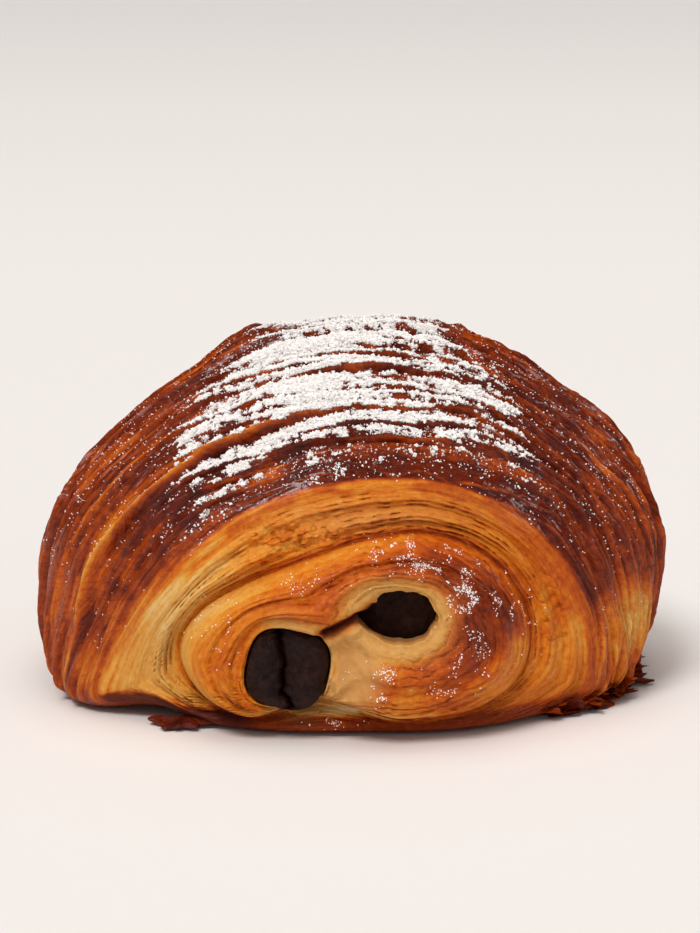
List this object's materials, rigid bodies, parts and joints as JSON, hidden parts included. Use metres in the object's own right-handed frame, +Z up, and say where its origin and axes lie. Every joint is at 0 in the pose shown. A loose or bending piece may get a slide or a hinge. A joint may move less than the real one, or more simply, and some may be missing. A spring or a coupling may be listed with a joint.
{
  "type": "pain au chocolat",
  "caption": "Rolled, laminated butter pastry with a domed browned crust, spiral ends and dark chocolate running through it from end to end; rests on a flat sole.",
  "frame": {"origin": "on the resting plane, under the centre of the pastry's bounding box", "axes": "+X across the roll, from the low foot of the last turn to the full side; +Y along the roll and its chocolate, away from the end that the picture shows; +Z up"},
  "size_m": [0.1007, 0.099, 0.0574],
  "materials": {
    "baked_dough": null,
    "dark_chocolate": null
  },
  "bodies": {
    "root": {"pastry": "baked_dough", "stick_left": "dark_chocolate", "stick_right": "dark_chocolate"}
  },
  "joints": []
}
